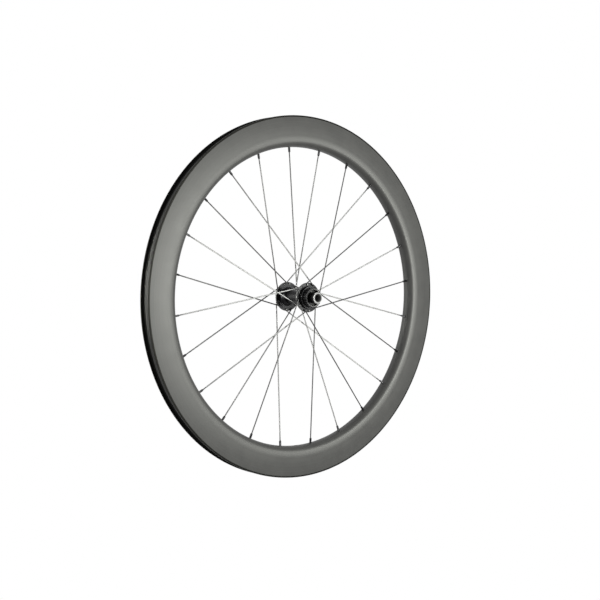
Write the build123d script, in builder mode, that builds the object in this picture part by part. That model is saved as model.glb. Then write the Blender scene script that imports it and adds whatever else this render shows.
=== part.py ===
"""Front bicycle wheel for a disc brake: deep hollow rim, 24 crossed bladed spokes and a flanged hub.

The axle lies along Y with the brake side at +Y, forward is +X and up is +Z.  The origin is the middle
of the hub, in the rim's centre plane.  The valve hole is at the bottom.  Sizes are in millimetres.
"""
import os
from math import asin, atan2, cos, degrees, hypot, radians, sin, sqrt, tan

from build123d import *

# Rim
RIM_DIAMETER = 634.0
RIM_DEPTH = 54.2
RIM_WIDTH = 28.0
NOSE_LAND_WIDTH = 2.6
SIDE_LEAN_ANGLE = 11.0
SIDE_SWELL = 0.9
NOSE_WALL = 3.2
NOSE_CORNER_WALL = 2.0
SIDE_WALL = 1.5
BED_WALL = 2.2
LIP_WIDTH = 24.6
LIP_CHAMFER = 1.2
CHANNEL_WIDTH = 20.0
HOOK_HEIGHT = 6.0
BEAD_SEAT_WIDTH = 3.5
WELL_DEPTH = 3.0
WELL_SLOPE_WIDTH = 2.5
VALVE_HOLE_DIAMETER = 6.5

# Spokes and nipples
SPOKE_COUNT = 24
CROSSING_COUNT = 2
WIRE_DIAMETER = 2.0
BLADE_WIDTH = 2.3
BLADE_THICKNESS = 1.0
BLADE_EDGE_FLAT = 1.4
ELBOW_RADIUS = 2.2
ELBOW_STEPS = 2
ELBOW_TAPER_LENGTH = 18.0
THREAD_TAPER_LENGTH = 9.0
THREAD_ROUND_LENGTH = 14.0
HEAD_DIAMETER = 3.7
HEAD_RIM_HEIGHT = 0.6
HEAD_CONE_HEIGHT = 1.0
SPOKE_HOLE_CLEARANCE = 0.25
NIPPLE_FLATS = 3.0
NIPPLE_TIP_FLATS = 2.5
NIPPLE_TIP_LENGTH = 1.2
NIPPLE_SHOWN_LENGTH = 7.5
NIPPLE_HEAD_FLATS = 4.6
NIPPLE_HEAD_HEIGHT = 2.2
NIPPLE_CONE_HEIGHT = 1.6
NIPPLE_HOLE_CLEARANCE = 0.15
NIPPLE_THREAD_CLEARANCE = 0.05
NIPPLE_SEAT_LIFT = 0.25
# Round wire and the holes that it passes are six-sided, the same way up, so that they seat evenly
WIRE_SIDES = 6

# Hub shell
LEFT_FLANGE_OFFSET = 21.5
RIGHT_FLANGE_OFFSET = 35.7
FLANGE_THICKNESS = 3.0
FLANGE_CHAMFER = 0.5
SPOKE_CIRCLE_DIAMETER = 46.0
HOLE_EDGE_DISTANCE = 3.0
HUB_TUBE_DIAMETER = 25.0
FLANGE_ROOT_DIAMETER = 33.0
FLANGE_ROOT_LENGTH = 7.0
ROTOR_NECK_DIAMETER = 36.0
ROTOR_SHOULDER_DIAMETER = 40.0
ROTOR_SHOULDER_THICKNESS = 2.4
ROTOR_SHOULDER_OFFSET = 29.3
ROTOR_SEAT_DIAMETER = 34.4
ROTOR_SEAT_LENGTH = 9.2
ROTOR_SPLINES = 24
SPLINE_GROOVE_WIDTH = 2.0
SPLINE_GROOVE_DEPTH = 0.9
LOCKRING_STEP = 1.3

# Axle, bearings and end caps
OVER_END_CAPS = 100.0
AXLE_BORE = 12.1
AXLE_SHOULDER_HEIGHT = 1.4
AXLE_TO_SHELL_GAP = 0.9
BEARING_BORE = 17.0
BEARING_DIAMETER = 26.0
BEARING_WIDTH = 5.0
BEARING_RING_WALL = 1.5
BALL_CAGE_WIDTH = 3.4
BALL_CAGE_CLEARANCE = 0.3
LEFT_BEARING_OFFSET = 27.5
RIGHT_BEARING_OFFSET = 35.5
SEAL_WIDTH = 2.0
SEAL_CLEARANCE = 0.3
END_CAP_WALL = 1.25
END_CAP_CHAMFER = 1.0
END_CAP_OVERLAP = 6.0

# Values that follow from those sizes
RIM_RADIUS = RIM_DIAMETER / 2
NOSE_TIP_RADIUS = RIM_RADIUS - RIM_DEPTH
BEAD_SEAT_RADIUS = RIM_RADIUS - HOOK_HEIGHT
WELL_RADIUS = BEAD_SEAT_RADIUS - WELL_DEPTH
SPOKE_PITCH = 360 / SPOKE_COUNT
WIRE_RADIUS = WIRE_DIAMETER / 2
LEFT_INNER_FACE = LEFT_BEARING_OFFSET - BEARING_WIDTH / 2
LEFT_OUTER_FACE = LEFT_BEARING_OFFSET + BEARING_WIDTH / 2
RIGHT_INNER_FACE = -RIGHT_BEARING_OFFSET + BEARING_WIDTH / 2
RIGHT_OUTER_FACE = -RIGHT_BEARING_OFFSET - BEARING_WIDTH / 2
SHELL_LEFT_END = ROTOR_SHOULDER_OFFSET + ROTOR_SEAT_LENGTH
SHELL_RIGHT_END = RIGHT_OUTER_FACE - SEAL_WIDTH
JOURNAL_RADIUS = BEARING_BORE / 2
AXLE_SHOULDER_RADIUS = JOURNAL_RADIUS + AXLE_SHOULDER_HEIGHT
BEARING_RADIUS = BEARING_DIAMETER / 2
END_CAP_RADIUS = JOURNAL_RADIUS + END_CAP_WALL
AXLE_LEFT_END = LEFT_OUTER_FACE + END_CAP_OVERLAP
AXLE_RIGHT_END = RIGHT_OUTER_FACE - END_CAP_OVERLAP


def write(builder, name):
    """Label a finished piece and write it as a STEP file of the same name."""
    builder.part.label = name
    export_step(builder.part, f"parts/{name}.step")


def turned(*corners):
    """A ring turned about the axle from the (radius, offset along the axle) corners of its section."""
    with BuildPart() as piece:
        with BuildSketch():
            Polygon(*corners, align=None)
        revolve(axis=Axis.Y)
    return piece


def ring(inner_radius, outer_radius, low, high):
    """A plain ring about the axle between two offsets along it."""
    return turned((inner_radius, low), (outer_radius, low), (outer_radius, high), (inner_radius, high))


class SpokeRun:
    """The line of one spoke, from its hole in a flange, round the elbow and out to the rim.

    Spokes are numbered clockwise from the top, seen from the brake side.  Odd ones go to the left
    flange and even ones to the right.  On each flange every other spoke leads and has its head outside.
    """

    def __init__(self, number):
        leading = number % 4 in (0, 1)
        reach = 2 * CROSSING_COUNT * (-1 if leading else 1)
        left = number % 2 == 1
        side = 1 if left else -1
        offset = LEFT_FLANGE_OFFSET if left else RIGHT_FLANGE_OFFSET
        nipple_spot = self.spot(number, NOSE_TIP_RADIUS)
        hole_spot = self.spot(number + reach, SPOKE_CIRCLE_DIAMETER / 2)
        # The wire goes through the flange along "through", away from its head
        self.through = Vector(0, -side if leading else side, 0)
        middle = hole_spot + Vector(0, side * offset, 0)
        self.head_seat = middle - self.through * (FLANGE_THICKNESS / 2)
        elbow_start = middle + self.through * (FLANGE_THICKNESS / 2)
        # The elbow bends in the plane of "through" and "outward", towards the nipple
        across = nipple_spot - hole_spot
        self.outward = across.normalized()
        self.across_wire = self.through.cross(self.outward)
        self.elbow_centre = elbow_start + self.outward * ELBOW_RADIUS
        reach_out = across.length - ELBOW_RADIUS
        reach_through = (nipple_spot - elbow_start).dot(self.through)
        rise = atan2(reach_through, reach_out) - asin(ELBOW_RADIUS / hypot(reach_out, reach_through))
        self.bend = 90 - degrees(rise)
        self.direction = self.elbow_plane(self.bend).z_dir
        self.run_start = self.elbow_plane(self.bend).origin
        self.nipple_spot = nipple_spot
        self.run_length = (nipple_spot - self.run_start).length

    @staticmethod
    def spot(place, radius):
        """A point in the rim's centre plane; places count round the wheel from just left of the top."""
        angle = SPOKE_PITCH * (place - 1.5)
        return Vector(0, 0, radius).rotate(Axis.Y, -angle)

    def elbow_plane(self, angle):
        """The plane across the wire at an angle round the elbow."""
        turn = radians(angle)
        spoke = self.through * sin(turn) - self.outward * cos(turn)
        heading = self.through * cos(turn) + self.outward * sin(turn)
        return Plane(self.elbow_centre + spoke * ELBOW_RADIUS, x_dir=self.across_wire, z_dir=heading)

    def head_plane(self, height):
        """The plane across the head, at a height above its seat on the flange."""
        return Plane(self.head_seat - self.through * height, x_dir=self.across_wire, z_dir=self.through)

    def run_plane(self, distance):
        """The plane across the straight run, at a distance past the rim's inner edge."""
        return Plane(self.nipple_spot + self.direction * distance,
                     x_dir=self.across_wire, z_dir=self.direction)


def wire_section(plane, diameter):
    """Round wire of a given diameter, as a section in a plane."""
    with BuildSketch(plane) as section:
        RegularPolygon(diameter / 2, WIRE_SIDES)
    return section.sketch


def blade_section(plane):
    """The flattened middle of a spoke, thin edge to the wind, as a section in a plane."""
    edge, flat, face = BLADE_WIDTH / 2, BLADE_EDGE_FLAT / 2, BLADE_THICKNESS / 2
    with BuildSketch(plane) as section:
        Polygon((edge, 0), (flat, face), (-flat, face), (-edge, 0), (-flat, -face), (flat, -face), align=None)
    return section.sketch


def square_section(height, flats):
    """A nipple's square section at a height along it."""
    with BuildSketch(Plane.XY.offset(height)) as section:
        Rectangle(flats, flats)
    return section.sketch


runs = [SpokeRun(number) for number in range(1, SPOKE_COUNT + 1)]
seat_distance = NOSE_WALL + NIPPLE_SEAT_LIFT
nipple_hole_radius = NIPPLE_FLATS / sqrt(2) + NIPPLE_HOLE_CLEARANCE
nipple_head_base = seat_distance + NIPPLE_CONE_HEIGHT
nipple_top = nipple_head_base + NIPPLE_HEAD_HEIGHT
os.makedirs("parts", exist_ok=True)

# Rim: one hollow ring, with the tyre channel outside and the closed air space inside
with BuildPart() as rim:
    with BuildSketch():
        with BuildLine():
            # Each side leaves the nose at a lean, swells to the widest place and draws in to the lip
            land = NOSE_LAND_WIDTH / 2
            lean = radians(SIDE_LEAN_ANGLE)
            nose_radius = (RIM_WIDTH / 2 - SIDE_SWELL - land) / cos(lean)
            nose = CenterArc((NOSE_TIP_RADIUS + nose_radius, land), nose_radius, 180, SIDE_LEAN_ANGLE - 90)
            foot = nose @ 1
            widest = Vector(foot.X + SIDE_SWELL / tan(lean / 2), RIM_WIDTH / 2)
            lip_corner = Vector(RIM_RADIUS - LIP_CHAMFER, LIP_WIDTH / 2)
            TangentArc(foot, widest, tangent=nose % 1)
            side = TangentArc(widest, lip_corner, tangent=(1, 0))
            channel = CHANNEL_WIDTH / 2
            seat_edge = channel - BEAD_SEAT_WIDTH
            well_edge = seat_edge - WELL_SLOPE_WIDTH
            Polyline(
                lip_corner,
                (RIM_RADIUS, LIP_WIDTH / 2 - LIP_CHAMFER),
                (RIM_RADIUS, channel),
                (BEAD_SEAT_RADIUS, channel),
                (BEAD_SEAT_RADIUS, seat_edge),
                (WELL_RADIUS, well_edge),
            )
            mirror(about=Plane.XZ)
            Line((WELL_RADIUS, well_edge), (WELL_RADIUS, -well_edge))
            Line((NOSE_TIP_RADIUS, land), (NOSE_TIP_RADIUS, -land))
        make_face()
        with BuildLine():
            floor_radius = NOSE_TIP_RADIUS + NOSE_WALL
            roof_radius = WELL_RADIUS - BED_WALL
            corner_reach = sqrt((nose_radius - NOSE_CORNER_WALL) ** 2 - (nose_radius - NOSE_WALL) ** 2)
            floor_half = land + corner_reach
            roof_share = (roof_radius - widest.X) / (lip_corner.X - widest.X)
            roof_half = (side @ roof_share).Y - SIDE_WALL
            Polyline(
                (floor_radius, floor_half),
                (foot.X, foot.Y - SIDE_WALL),
                (widest.X, widest.Y - SIDE_WALL),
                (roof_radius, roof_half),
            )
            mirror(about=Plane.XZ)
            Line((roof_radius, roof_half), (roof_radius, -roof_half))
            Line((floor_radius, floor_half), (floor_radius, -floor_half))
        make_face(mode=Mode.SUBTRACT)
    revolve(axis=Axis.Y)
    with BuildSketch(*[run.run_plane(0) for run in runs]):
        RegularPolygon(nipple_hole_radius, WIRE_SIDES, major_radius=False)
    extrude(amount=2 * NOSE_WALL, both=True, mode=Mode.SUBTRACT)
    with BuildSketch(Plane.XY.offset(-RIM_RADIUS)):
        Circle(VALVE_HOLE_DIAMETER / 2)
    extrude(amount=RIM_DEPTH + NOSE_WALL, mode=Mode.SUBTRACT)
write(rim, "rim")

# Spokes: head, elbow, round stretch, blade and threaded end in one piece of wire
for number, run in enumerate(runs, start=1):
    blade_start = ELBOW_TAPER_LENGTH - run.run_length
    blade_end = -THREAD_ROUND_LENGTH - THREAD_TAPER_LENGTH
    elbow_angles = [run.bend * step / ELBOW_STEPS for step in range(ELBOW_STEPS + 1)]
    with BuildPart() as spoke:
        sections = [
            wire_section(run.head_plane(HEAD_CONE_HEIGHT + HEAD_RIM_HEIGHT), HEAD_DIAMETER),
            wire_section(run.head_plane(HEAD_CONE_HEIGHT), HEAD_DIAMETER),
            wire_section(run.head_plane(0), WIRE_DIAMETER),
            *[wire_section(run.elbow_plane(angle), WIRE_DIAMETER) for angle in elbow_angles],
            blade_section(run.run_plane(blade_start)),
            blade_section(run.run_plane(blade_end)),
            wire_section(run.run_plane(-THREAD_ROUND_LENGTH), WIRE_DIAMETER),
            wire_section(run.run_plane(nipple_head_base), WIRE_DIAMETER),
        ]
        loft(sections, ruled=True)
    write(spoke, f"spoke_{number:02d}")

# Nipples: each passes through the rim's nose, with its head on the floor of the air space
with BuildPart() as nipple:
    sections = [
        square_section(-NIPPLE_SHOWN_LENGTH, NIPPLE_TIP_FLATS),
        square_section(NIPPLE_TIP_LENGTH - NIPPLE_SHOWN_LENGTH, NIPPLE_FLATS),
        square_section(seat_distance, NIPPLE_FLATS),
        square_section(nipple_head_base, NIPPLE_HEAD_FLATS),
        square_section(nipple_top, NIPPLE_HEAD_FLATS),
    ]
    loft(sections, ruled=True)
    with BuildSketch(Plane.XY.offset(-NIPPLE_SHOWN_LENGTH)):
        RegularPolygon(WIRE_RADIUS + NIPPLE_THREAD_CLEARANCE, WIRE_SIDES)
    extrude(amount=NIPPLE_SHOWN_LENGTH + nipple_top, mode=Mode.SUBTRACT)
with BuildPart() as spoke_nipples:
    with Locations(*[run.run_plane(0).location for run in runs]):
        add(nipple.part)
write(spoke_nipples, "spoke_nipples")

# Hub shell: flanges, tapered tube, bearing seats and the splined rotor seat, turned from one piece
left_flange_in = LEFT_FLANGE_OFFSET - FLANGE_THICKNESS / 2
left_flange_out = LEFT_FLANGE_OFFSET + FLANGE_THICKNESS / 2
right_flange_in = -RIGHT_FLANGE_OFFSET + FLANGE_THICKNESS / 2
right_flange_out = -RIGHT_FLANGE_OFFSET - FLANGE_THICKNESS / 2
flange_radius = SPOKE_CIRCLE_DIAMETER / 2 + HOLE_EDGE_DISTANCE
flange_edge = flange_radius - FLANGE_CHAMFER
root_radius = FLANGE_ROOT_DIAMETER / 2
tube_radius = HUB_TUBE_DIAMETER / 2
rotor_seat_radius = ROTOR_SEAT_DIAMETER / 2
shoulder_radius = ROTOR_SHOULDER_DIAMETER / 2
lockring_radius = BEARING_RADIUS + LOCKRING_STEP
left_seat_end = LEFT_OUTER_FACE + SEAL_WIDTH
shell_bore = AXLE_SHOULDER_RADIUS + AXLE_TO_SHELL_GAP
with BuildPart() as hub_shell:
    with BuildSketch():
        Polygon(
            (lockring_radius, SHELL_LEFT_END),
            (rotor_seat_radius, SHELL_LEFT_END),
            (rotor_seat_radius, ROTOR_SHOULDER_OFFSET),
            (shoulder_radius, ROTOR_SHOULDER_OFFSET),
            (shoulder_radius, ROTOR_SHOULDER_OFFSET - ROTOR_SHOULDER_THICKNESS),
            (ROTOR_NECK_DIAMETER / 2, left_flange_out),
            (flange_edge, left_flange_out),
            (flange_radius, left_flange_out - FLANGE_CHAMFER),
            (flange_radius, left_flange_in + FLANGE_CHAMFER),
            (flange_edge, left_flange_in),
            (root_radius, left_flange_in),
            (tube_radius, left_flange_in - FLANGE_ROOT_LENGTH),
            (tube_radius, right_flange_in + FLANGE_ROOT_LENGTH),
            (root_radius, right_flange_in),
            (flange_edge, right_flange_in),
            (flange_radius, right_flange_in - FLANGE_CHAMFER),
            (flange_radius, right_flange_out + FLANGE_CHAMFER),
            (flange_edge, right_flange_out),
            (root_radius, right_flange_out),
            (root_radius, SHELL_RIGHT_END),
            (BEARING_RADIUS, SHELL_RIGHT_END),
            (BEARING_RADIUS, RIGHT_INNER_FACE),
            (shell_bore, RIGHT_INNER_FACE),
            (shell_bore, LEFT_INNER_FACE),
            (BEARING_RADIUS, LEFT_INNER_FACE),
            (BEARING_RADIUS, left_seat_end),
            (lockring_radius, left_seat_end),
            align=None,
        )
    revolve(axis=Axis.Y)
    with BuildSketch(*[run.head_plane(0) for run in runs]):
        RegularPolygon(WIRE_RADIUS + SPOKE_HOLE_CLEARANCE, WIRE_SIDES)
    extrude(amount=2 * FLANGE_THICKNESS, both=True, mode=Mode.SUBTRACT)
    with BuildSketch(Plane((0, SHELL_LEFT_END, 0), x_dir=(1, 0, 0), z_dir=(0, 1, 0))):
        with PolarLocations(rotor_seat_radius, ROTOR_SPLINES):
            Rectangle(2 * SPLINE_GROOVE_DEPTH, SPLINE_GROOVE_WIDTH)
    extrude(amount=-ROTOR_SEAT_LENGTH, mode=Mode.SUBTRACT)
write(hub_shell, "hub_shell")

# Axle: a tube through the hub, thicker between the two inner rings
bore_radius = AXLE_BORE / 2
axle = turned(
    (bore_radius, AXLE_RIGHT_END),
    (JOURNAL_RADIUS, AXLE_RIGHT_END),
    (JOURNAL_RADIUS, RIGHT_INNER_FACE),
    (AXLE_SHOULDER_RADIUS, RIGHT_INNER_FACE),
    (AXLE_SHOULDER_RADIUS, LEFT_INNER_FACE),
    (JOURNAL_RADIUS, LEFT_INNER_FACE),
    (JOURNAL_RADIUS, AXLE_LEFT_END),
    (bore_radius, AXLE_LEFT_END),
)
write(axle, "axle")

# What sits on either end of the axle: a bearing, a seal and the end cap that clamps the inner ring
inner_ring_radius = JOURNAL_RADIUS + BEARING_RING_WALL
outer_ring_radius = BEARING_RADIUS - BEARING_RING_WALL
cage_inner = inner_ring_radius + BALL_CAGE_CLEARANCE
cage_outer = outer_ring_radius - BALL_CAGE_CLEARANCE
for side_name, outward, inner_face, outer_face, axle_end in (
    ("left", 1, LEFT_INNER_FACE, LEFT_OUTER_FACE, AXLE_LEFT_END),
    ("right", -1, RIGHT_INNER_FACE, RIGHT_OUTER_FACE, AXLE_RIGHT_END),
):
    write(ring(outer_ring_radius, BEARING_RADIUS, inner_face, outer_face), f"{side_name}_bearing_outer_ring")
    write(ring(JOURNAL_RADIUS, inner_ring_radius, inner_face, outer_face), f"{side_name}_bearing_inner_ring")
    bearing_middle = (inner_face + outer_face) / 2
    cage_half = outward * BALL_CAGE_WIDTH / 2
    cage = ring(cage_inner, cage_outer, bearing_middle - cage_half, bearing_middle + cage_half)
    write(cage, f"{side_name}_ball_cage")
    seal = ring(END_CAP_RADIUS + SEAL_CLEARANCE, BEARING_RADIUS, outer_face, outer_face + outward * SEAL_WIDTH)
    write(seal, f"{side_name}_seal")
    cap_end = outward * OVER_END_CAPS / 2
    end_cap = turned(
        (JOURNAL_RADIUS, outer_face),
        (END_CAP_RADIUS, outer_face),
        (END_CAP_RADIUS, cap_end - outward * END_CAP_CHAMFER),
        (END_CAP_RADIUS - END_CAP_CHAMFER, cap_end),
        (bore_radius, cap_end),
        (bore_radius, axle_end),
        (JOURNAL_RADIUS, axle_end),
    )
    write(end_cap, f"{side_name}_end_cap")
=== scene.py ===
"""Visible pieces, finishes and studio of a front bicycle wheel, built round its packed CAD frame.

The axle lies along Y with the brake side at +Y, and up is +Z.  Sizes are in metres.
"""
from math import asin, atan2, ceil, copysign, cos, hypot, pi, radians, sin, sqrt, tan
from typing import NamedTuple

import bmesh
import bpy
from bpy.props import FloatProperty, FloatVectorProperty, IntProperty, PointerProperty
from mathutils import Matrix, Vector


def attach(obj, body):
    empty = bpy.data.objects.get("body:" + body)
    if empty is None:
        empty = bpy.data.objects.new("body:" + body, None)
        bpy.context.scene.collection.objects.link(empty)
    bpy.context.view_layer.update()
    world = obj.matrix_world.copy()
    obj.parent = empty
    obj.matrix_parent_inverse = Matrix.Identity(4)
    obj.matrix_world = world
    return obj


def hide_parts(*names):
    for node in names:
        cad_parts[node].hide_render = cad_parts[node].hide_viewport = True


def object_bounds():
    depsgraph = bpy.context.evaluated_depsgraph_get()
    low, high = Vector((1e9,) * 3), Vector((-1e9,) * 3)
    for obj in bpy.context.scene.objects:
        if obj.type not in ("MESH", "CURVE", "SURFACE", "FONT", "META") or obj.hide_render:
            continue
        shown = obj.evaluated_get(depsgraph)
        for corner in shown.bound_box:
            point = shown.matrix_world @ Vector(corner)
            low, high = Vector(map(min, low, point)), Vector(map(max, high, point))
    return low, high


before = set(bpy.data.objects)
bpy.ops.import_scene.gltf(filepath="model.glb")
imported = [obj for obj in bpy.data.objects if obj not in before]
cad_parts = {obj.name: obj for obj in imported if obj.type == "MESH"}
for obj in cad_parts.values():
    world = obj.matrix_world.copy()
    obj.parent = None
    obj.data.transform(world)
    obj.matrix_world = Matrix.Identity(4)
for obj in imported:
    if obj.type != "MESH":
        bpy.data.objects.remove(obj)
CAD_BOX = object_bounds()

bl_info = {
    "name": "Front Wheel",
    "version": (1, 0, 0),
    "blender": (4, 5, 0),
    "location": "View3D > Sidebar > Wheel",
    "description": "Builds the visible pieces, finishes and studio of a front bicycle wheel",
    "category": "Object",
}

RIM_SEGMENTS = 360  # steps round the rim
HUB_SEGMENTS = 360  # steps round the hub shell, a whole number to each spline
RING_SEGMENTS = 144  # steps round the other turned pieces
WIRE_POINTS = 16  # points round a spoke or a nipple
DRILL_POINTS = 32  # points round a drilled hole
DOME_STEPS = 24  # steps of the backdrop from pole to pole
FLOOR_POINTS = 64  # points round the floor
ARC_TOLERANCE = 0.000006  # how far the steps of an arc may cut inside it
SHARP_ANGLE = radians(32)  # faces that meet at more than this keep a sharp edge
LARGEST_ARC = 0.99  # share of the largest arc that fits between two corners
MASK_EDGE = 0.0001  # step in which one finish gives way to another
ROUND, SQUARE = 2.0, 5.0  # squareness of a round section and of one with flat sides
TOP_PLACE = 1.5  # where the wheel's top lies, counted in spoke places
SENSOR_WIDTH = 36.0  # of the camera, in millimetres
MIX_FIRST, MIX_SECOND, MIX_RESULT = 6, 7, 2  # colour sockets of a Mix node


class TurnedSize(NamedTuple):
    """Reach of a turned node: its radii from the axle, and its ends along Y."""

    inner: float
    outer: float
    right: float
    left: float

    def ends(self, outward):
        """The end near the rim's centre plane and the far end; outward is 1 or -1."""
        return (self.right, self.left)[::outward]


def turned_size(node):
    """The reach of a CAD node about the axle."""
    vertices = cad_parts[node].data.vertices
    radii = [hypot(vertex.co.x, vertex.co.z) for vertex in vertices]
    offsets = [vertex.co.y for vertex in vertices]
    return TurnedSize(min(radii), max(radii), min(offsets), max(offsets))


RIM = turned_size("rim")
RIM_EDGE = min(abs(corner[axis]) for corner in CAD_BOX for axis in (0, 2))
SHELL = turned_size("hub_shell")
AXLE = turned_size("axle")
CAP = turned_size("left_end_cap")
SEAL = turned_size("left_seal")
LEFT_RING = turned_size("left_bearing_inner_ring")
RIGHT_RING = turned_size("right_bearing_inner_ring")


def length(name, description, metres):
    """A size in metres that a user may change."""
    return FloatProperty(
        name=name, description=description, default=metres, unit="LENGTH", precision=5)


def angle(name, description, degrees):
    """An angle that a user may change."""
    return FloatProperty(
        name=name, description=description, default=radians(degrees), subtype="ANGLE")


def number(name, description, value):
    """A whole number that a user may change."""
    return IntProperty(name=name, description=description, default=value, min=1)


def power(name, description, watts):
    """A light's power that a user may change."""
    return FloatProperty(name=name, description=description, default=watts, min=0, unit="POWER")


def colour(name, description, red, green, blue):
    """A linear colour that a user may change."""
    return FloatVectorProperty(
        name=name, description=description, default=(red, green, blue), min=0, max=1,
        subtype="COLOR")


class RimSizes(bpy.types.PropertyGroup):
    """Sizes of the hollow rim's section."""

    edge_radius: length("Edge radius", "From the axle to the rim's outer edge", RIM_EDGE)
    tip_radius: length("Tip radius", "From the axle to the flat at the nose's tip", RIM.inner)
    half_width: length("Half width", "From the centre plane to the side's widest part", RIM.left)
    nose_half_flat: length("Nose half flat", "Half the width of the nose's flat tip", 0.0013)
    side_lean: angle("Side lean", "Lean of the side where it leaves the nose", 11.0)
    side_swell: length("Side swell", "Swell of the side from the nose to its widest part", 0.0009)
    lip_half_width: length("Lip half width", "From the centre plane to a lip's outside", 0.0122)
    lip_rounding: length("Lip rounding", "Rounding on the outer edge of a lip", 0.0012)
    lip_inner_rounding: length("Lip inner rounding", "Rounding on a lip's tyre side", 0.0004)
    lip_height: length("Lip height", "From the bead seat to the rim's outer edge", 0.006)
    channel_half_width: length("Channel half width", "Half the width between the lips", 0.010)
    seat_width: length("Bead seat width", "Width of the seat of each tyre bead", 0.0035)
    slope_width: length("Slope width", "Width of the slope into the centre well", 0.0025)
    well_depth: length("Well depth", "Depth of the centre well below the bead seats", 0.003)
    bed_rounding: length("Bed rounding", "Rounding of the steps in the tyre bed", 0.0012)
    side_wall: length("Side wall", "Thickness of the sides", 0.0015)
    bed_wall: length("Bed wall", "Thickness under the tyre bed", 0.0022)
    nose_wall: length("Nose wall", "Thickness of the nose where the nipples sit", 0.0032)
    valve_radius: length("Valve hole radius", "Radius of the hole for the valve", 0.00325)


class SpokeSizes(bpy.types.PropertyGroup):
    """Sizes of the spokes, their lacing and their nipples."""

    count: number("Spokes", "Number of spokes", 24)
    crossings: number("Crossings", "Spokes of its own side that each spoke crosses", 2)
    circle_radius: length("Hole circle radius", "Radius of the circle of spoke holes", 0.023)
    left_flange: length("Left flange", "From the centre plane to the left flange", 0.0215)
    right_flange: length("Right flange", "From the centre plane to the right flange", 0.0357)
    flange_thickness: length("Flange thickness", "Thickness of each flange", 0.003)
    hole_radius: length("Hole radius", "Radius of a spoke hole", 0.00125)
    wire_radius: length("Wire radius", "Radius of the round ends of a spoke", 0.001)
    blade_half_width: length("Blade half width", "Half the width of the flat middle", 0.00105)
    blade_half_thickness: length("Blade half thickness", "Half the middle's thickness", 0.0005)
    elbow_radius: length("Elbow radius", "Radius of the bend at the flange", 0.0022)
    elbow_straight: length("Straight after elbow", "Round length after the elbow", 0.012)
    elbow_taper: length("Elbow taper end", "From the elbow to the start of the blade", 0.030)
    thread_taper: length("Thread taper", "Length of the taper near the rim", 0.009)
    thread_round: length("Round end", "Round length that runs into the nipple", 0.014)
    head_radius: length("Head radius", "Radius of a spoke's head", 0.00185)
    head_height: length("Head height", "Height of a spoke's head", 0.0016)
    head_cone: length("Head cone", "Height of the cone under a head", 0.001)
    head_rounding: length("Head rounding", "Rounding on top of a head", 0.0006)
    nipple_flats: length("Nipple half flats", "Half the width across a nipple's flats", 0.0016)
    nipple_tip: length("Nipple tip", "Half the width of a nipple's tip", 0.0014)
    nipple_tip_length: length("Nipple tip length", "Length of a nipple's tapered tip", 0.0012)
    nipple_shown: length("Nipple shown", "Length of a nipple outside the rim", 0.0090)
    nipple_bore: length("Nipple bore", "Radius of a nipple's bore", 0.00105)
    nipple_seat: length("Nipple seat", "From the nose's flat to a nipple's cone", 0.00345)
    nipple_cone: length("Nipple cone", "Height of the cone under a nipple's head", 0.0016)
    nipple_head: length("Nipple head", "Half the width of a nipple's head", 0.0023)
    nipple_head_height: length("Nipple head height", "Height of the head on its cone", 0.0022)
    nipple_hole: length("Nipple hole", "Radius of a nipple's hole in the rim", 0.00227)


class HubSizes(bpy.types.PropertyGroup):
    """Sizes of the hub shell, axle, end caps and seals."""

    flange_radius: length("Flange radius", "Radius of both flanges", SHELL.outer)
    flange_rounding: length("Flange rounding", "Rounding on the flanges' edges", 0.0006)
    tube_radius: length("Tube radius", "Radius of the tube between the flanges", 0.0125)
    root_radius: length("Root radius", "Radius where the tube's flare meets a flange", 0.0165)
    root_length: length("Root length", "Length of the flare beside a flange", 0.007)
    root_rounding: length("Root rounding", "Rounding where the flare meets the tube", 0.005)
    neck_radius: length("Neck radius", "Radius of the neck outside the left flange", 0.018)
    shoulder_radius: length("Shoulder radius", "Radius of the rotor's shoulder", 0.020)
    shoulder_face: length("Shoulder face", "From the centre plane to the shoulder", 0.0293)
    shoulder_thickness: length("Shoulder thickness", "Thickness of the shoulder", 0.0024)
    seat_radius: length("Rotor seat radius", "Radius over the splines", 0.0172)
    splines: number("Splines", "Grooves round the rotor seat", 24)
    groove_depth: length("Groove depth", "Depth of the grooves between the splines", 0.0009)
    groove_width: length("Groove width", "Width of the grooves between the splines", 0.002)
    mouth_step: length("Mouth step", "Step of the recess outside the left seal", 0.0013)
    edge_rounding: length("Edge rounding", "Rounding of the turned edges", 0.0003)
    cap_chamfer: length("Cap chamfer", "Chamfer round a cap's end", 0.001)
    cap_mouth: length("Cap mouth", "Chamfer that leads into a cap's bore", 0.0012)
    cap_ring_width: length("Cap ring width", "Bare ring on a cap's end face", 0.0009)
    cap_overlap: length("Cap overlap", "Length of the axle inside a cap", 0.006)
    axle_bare: length("Bare axle end", "Bare length inside each end of the axle", 0.0015)


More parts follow.
